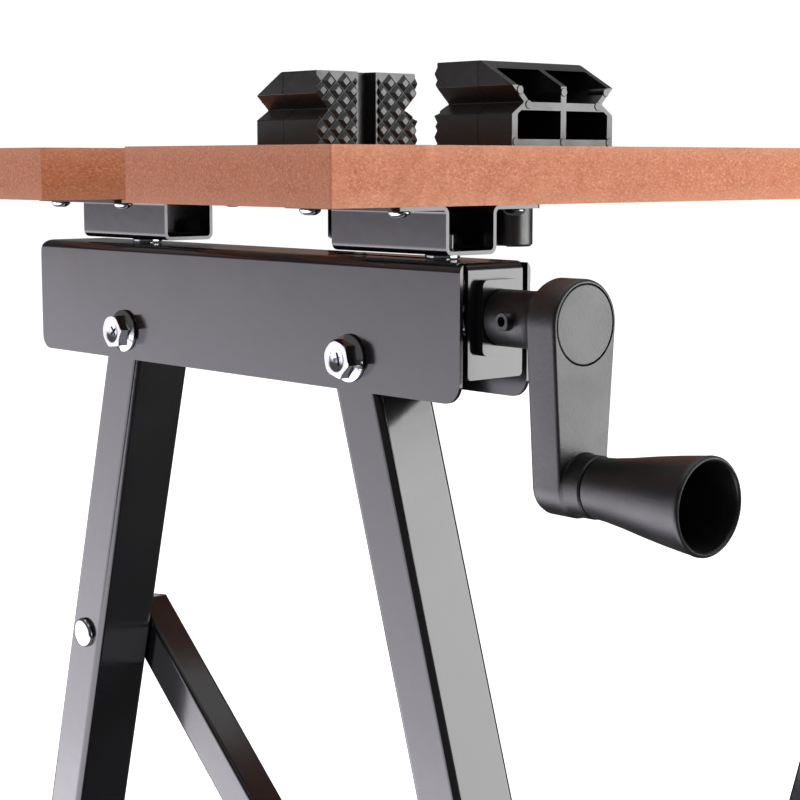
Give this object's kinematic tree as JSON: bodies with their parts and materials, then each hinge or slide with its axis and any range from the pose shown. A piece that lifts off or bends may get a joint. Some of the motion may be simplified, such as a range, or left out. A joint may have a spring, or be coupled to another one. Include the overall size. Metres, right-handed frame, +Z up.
{
  "type": "folding vice bench",
  "caption": "Folding work stand with crank-driven wooden vice jaws on a black steel frame, lift-out bench dogs and folding braced leg frames.",
  "frame": {"origin": "on the floor, midway between the feet along X and Y", "axes": "+Z up, +X along the jaw boards to the right of someone at the cranks, +Y from the cranks to the rear"},
  "size_m": [0.8, 0.5904, 0.8257],
  "materials": {
    "black_paint": "gloss black enamel",
    "fibreboard": "bare medium-density fibreboard, red-brown",
    "bright_zinc": "bright zinc plate",
    "crank_plastic": "satin black moulding, fine texture",
    "dog_plastic": "half-gloss black moulding",
    "foot_rubber": "matt black"
  },
  "bodies": {
    "top_frame": {"left_beam": "black_paint", "right_beam": "black_paint", "rear_jaw_board": "fibreboard", "left_rear_bracket": "black_paint", "right_rear_bracket": "black_paint", "left_rear_bracket_bolt": "bright_zinc", "right_rear_bracket_bolt": "bright_zinc", "left_spindle_bearing": "crank_plastic", "right_spindle_bearing": "crank_plastic", "left_front_leg_bolt": "bright_zinc", "right_front_leg_bolt": "bright_zinc", "left_rear_leg_bolt": "bright_zinc", "right_rear_leg_bolt": "bright_zinc", "left_front_leg_nut": "bright_zinc", "right_front_leg_nut": "bright_zinc", "left_rear_leg_nut": "bright_zinc", "right_rear_leg_nut": "bright_zinc"},
    "front_jaw": {"front_jaw_board": "fibreboard", "left_front_bracket": "black_paint", "right_front_bracket": "black_paint", "left_jaw_slide_bolt": "bright_zinc", "right_jaw_slide_bolt": "bright_zinc", "left_spindle_nut": "bright_zinc", "right_spindle_nut": "bright_zinc"},
    "left_crank": {"left_spindle": "bright_zinc", "left_crank_arm": "crank_plastic", "left_crank_cap": "crank_plastic", "left_crank_pin": "bright_zinc", "left_grip_axle": "bright_zinc"},
    "right_crank": {"right_spindle": "bright_zinc", "right_crank_arm": "crank_plastic", "right_crank_cap": "crank_plastic", "right_crank_pin": "bright_zinc", "right_grip_axle": "bright_zinc"},
    "left_grip": {"left_crank_grip": "crank_plastic"},
    "right_grip": {"right_crank_grip": "crank_plastic"},
    "rear_frame": {"left_rear_leg": "black_paint", "right_rear_leg": "black_paint", "rear_crossbar": "black_paint", "left_rear_foot": "foot_rubber", "right_rear_foot": "foot_rubber", "left_brace_rivet": "bright_zinc", "right_brace_rivet": "bright_zinc"},
    "front_frame": {"left_front_leg": "black_paint", "right_front_leg": "black_paint", "front_crossbar": "black_paint", "left_front_foot": "foot_rubber", "right_front_foot": "foot_rubber"},
    "left_brace_arm": {"left_brace": "black_paint"},
    "right_brace_arm": {"right_brace": "black_paint"},
    "left_knob": {"left_locking_knob": "crank_plastic"},
    "right_knob": {"right_locking_knob": "crank_plastic"},
    "front_left_dog_body": {"front_left_dog": "dog_plastic"},
    "front_right_dog_body": {"front_right_dog": "dog_plastic"},
    "rear_left_dog_body": {"rear_left_dog": "dog_plastic"},
    "rear_right_dog_body": {"rear_right_dog": "dog_plastic"}
  },
  "joints": [
    {"name": "rear_frame_fold", "type": "hinge", "parent": "top_frame", "child": "rear_frame", "pos_m": [0, 0.08683, 0.7113], "axis": [1, 0, 0], "range_deg": [0, 75.2]},
    {"name": "front_frame_fold", "type": "hinge", "parent": "top_frame", "child": "front_frame", "pos_m": [0, -0.06617, 0.7113], "axis": [1, 0, 0], "range_deg": [0, 92.11]},
    {"name": "left_brace_swing", "type": "hinge", "parent": "rear_frame", "child": "left_brace_arm", "pos_m": [-0.30185, 0.12998, 0.56755], "axis": [1, 0, 0], "range_deg": [0, 63.51]},
    {"name": "right_brace_swing", "type": "hinge", "parent": "rear_frame", "child": "right_brace_arm", "pos_m": [0.30185, 0.12998, 0.56755], "axis": [1, 0, 0], "range_deg": [0, 63.51]},
    {"name": "left_knob_turn", "type": "hinge", "parent": "front_frame", "child": "left_knob", "pos_m": [-0.2935, -0.19225, 0.28447], "axis": [1, 0, 0], "continuous": true},
    {"name": "right_knob_turn", "type": "hinge", "parent": "front_frame", "child": "right_knob", "pos_m": [0.2935, -0.19225, 0.28447], "axis": [1, 0, 0], "continuous": true},
    {"name": "left_crank_turn", "type": "hinge", "parent": "top_frame", "child": "left_crank", "pos_m": [-0.3245, -0.12617, 0.7295], "axis": [0, 1, 0], "range_deg": [0, 5221]},
    {"name": "right_crank_turn", "type": "hinge", "parent": "top_frame", "child": "right_crank", "pos_m": [0.3245, -0.12617, 0.7295], "axis": [0, 1, 0], "range_deg": [0, 5221]},
    {"name": "front_jaw_slide", "type": "slide", "parent": "top_frame", "child": "front_jaw", "axis": [0, 1, 0], "range_m": [0, 0.058]},
    {"name": "left_grip_spin", "type": "hinge", "parent": "left_crank", "child": "left_grip", "pos_m": [-0.3245, -0.2, 0.6744], "axis": [0, 1, 0], "continuous": true},
    {"name": "right_grip_spin", "type": "hinge", "parent": "right_crank", "child": "right_grip", "pos_m": [0.3245, -0.2, 0.6744], "axis": [0, 1, 0], "continuous": true},
    {"name": "front_left_dog_lift", "type": "slide", "parent": "front_jaw", "child": "front_left_dog_body", "axis": [0, 0, 1], "range_m": [0, 0.045]},
    {"name": "front_right_dog_lift", "type": "slide", "parent": "front_jaw", "child": "front_right_dog_body", "axis": [0, 0, 1], "range_m": [0, 0.045]},
    {"name": "rear_left_dog_lift", "type": "slide", "parent": "top_frame", "child": "rear_left_dog_body", "axis": [0, 0, 1], "range_m": [0, 0.045]},
    {"name": "rear_right_dog_lift", "type": "slide", "parent": "top_frame", "child": "rear_right_dog_body", "axis": [0, 0, 1], "range_m": [0, 0.045]}
  ],
  "couplings": [
    {"joint": "front_frame_fold", "follows": "rear_frame_fold", "ratio": 1.2247},
    {"joint": "left_brace_swing", "follows": "rear_frame_fold", "ratio": 0.84442},
    {"joint": "right_brace_swing", "follows": "rear_frame_fold", "ratio": 0.84442},
    {"joint": "left_crank_turn", "follows": "front_jaw_slide", "rad_per_m": 1570.8},
    {"joint": "right_crank_turn", "follows": "front_jaw_slide", "rad_per_m": 1570.8}
  ]
}
